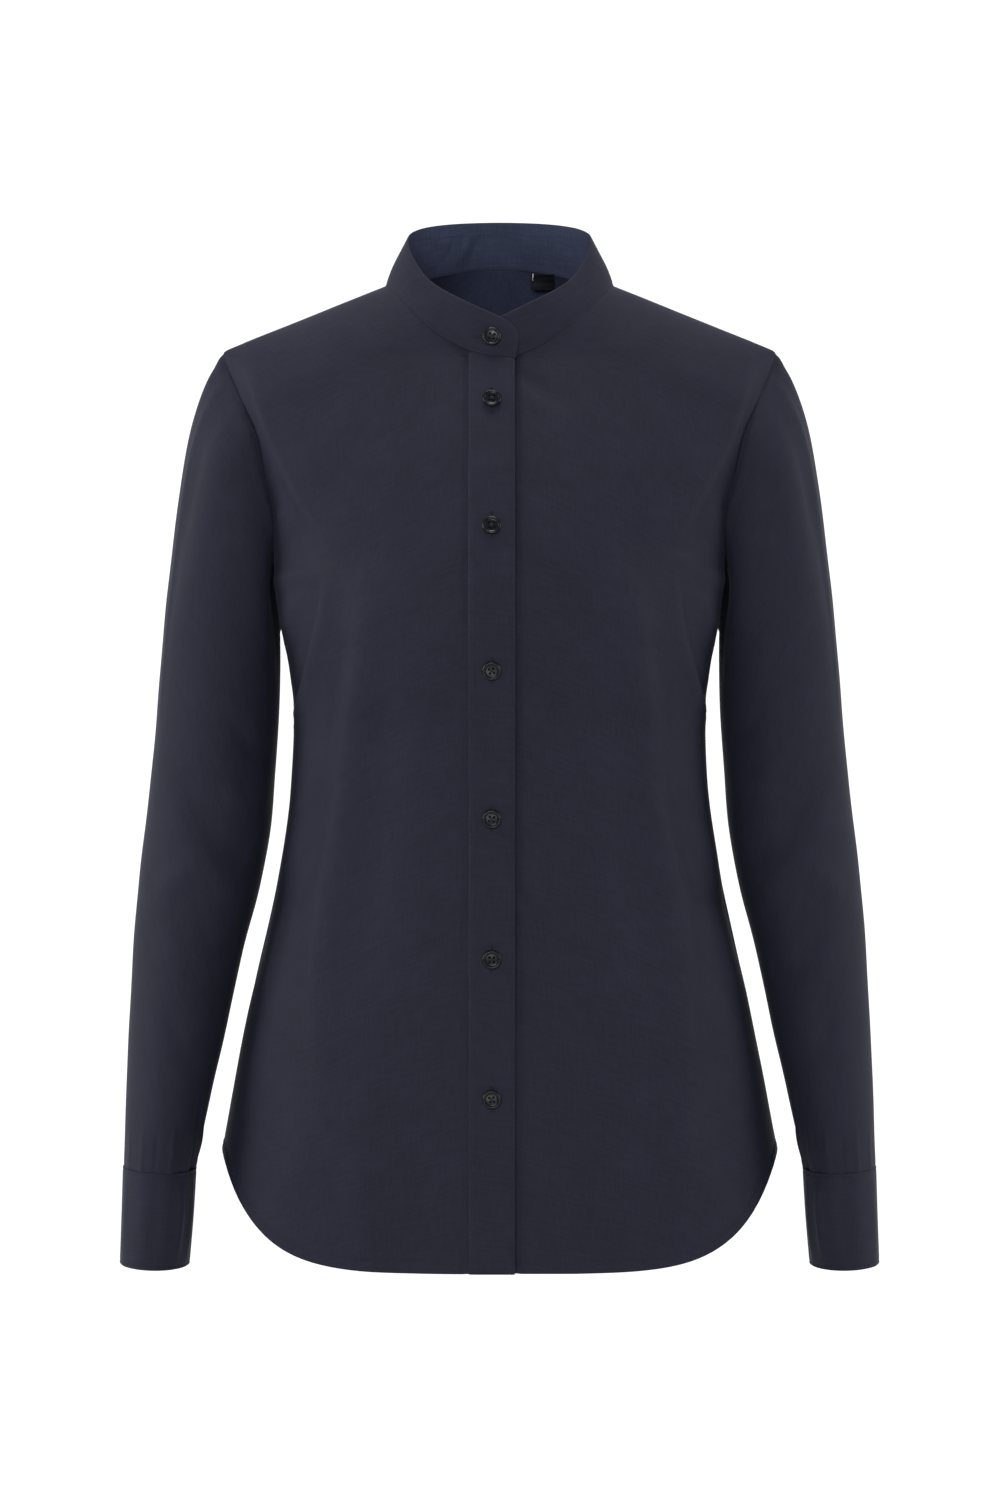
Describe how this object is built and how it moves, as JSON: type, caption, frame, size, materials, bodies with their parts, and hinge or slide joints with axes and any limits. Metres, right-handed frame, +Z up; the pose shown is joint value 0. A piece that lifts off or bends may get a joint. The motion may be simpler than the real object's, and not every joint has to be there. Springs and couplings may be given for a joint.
{
  "type": "mandarin_collar_shirt",
  "caption": "Women's dark navy poplin shirt with a stand collar, a stitched button placket, long cuffed sleeves, darted waist and curved shirt-tail hem, filled out as worn.",
  "frame": {"origin": "the wearer_shoulders mount: the middle of the neck base, at the height of the side neck points where the shoulder seams start", "axes": "+Z up along the length of the shirt, -Y out of its front, +X towards the wearer's left"},
  "size_m": [0.5228, 0.2556, 0.7245],
  "materials": {
    "cloth": "matt",
    "button": "gloss",
    "label": "satin"
  },
  "bodies": {
    "root": {"front_right": "cloth", "front_left": "cloth", "placket": "cloth", "back": "cloth", "collar_band": "cloth", "sleeve_right": "cloth", "sleeve_left": "cloth", "cuff_right": "cloth", "cuff_left": "cloth", "button_collar": "button", "button_front_1": "button", "button_front_2": "button", "button_front_3": "button", "button_front_4": "button", "button_front_5": "button", "button_front_6": "button", "cuff_button_right": "button", "cuff_button_left": "button", "neck_label": "label"}
  },
  "joints": []
}
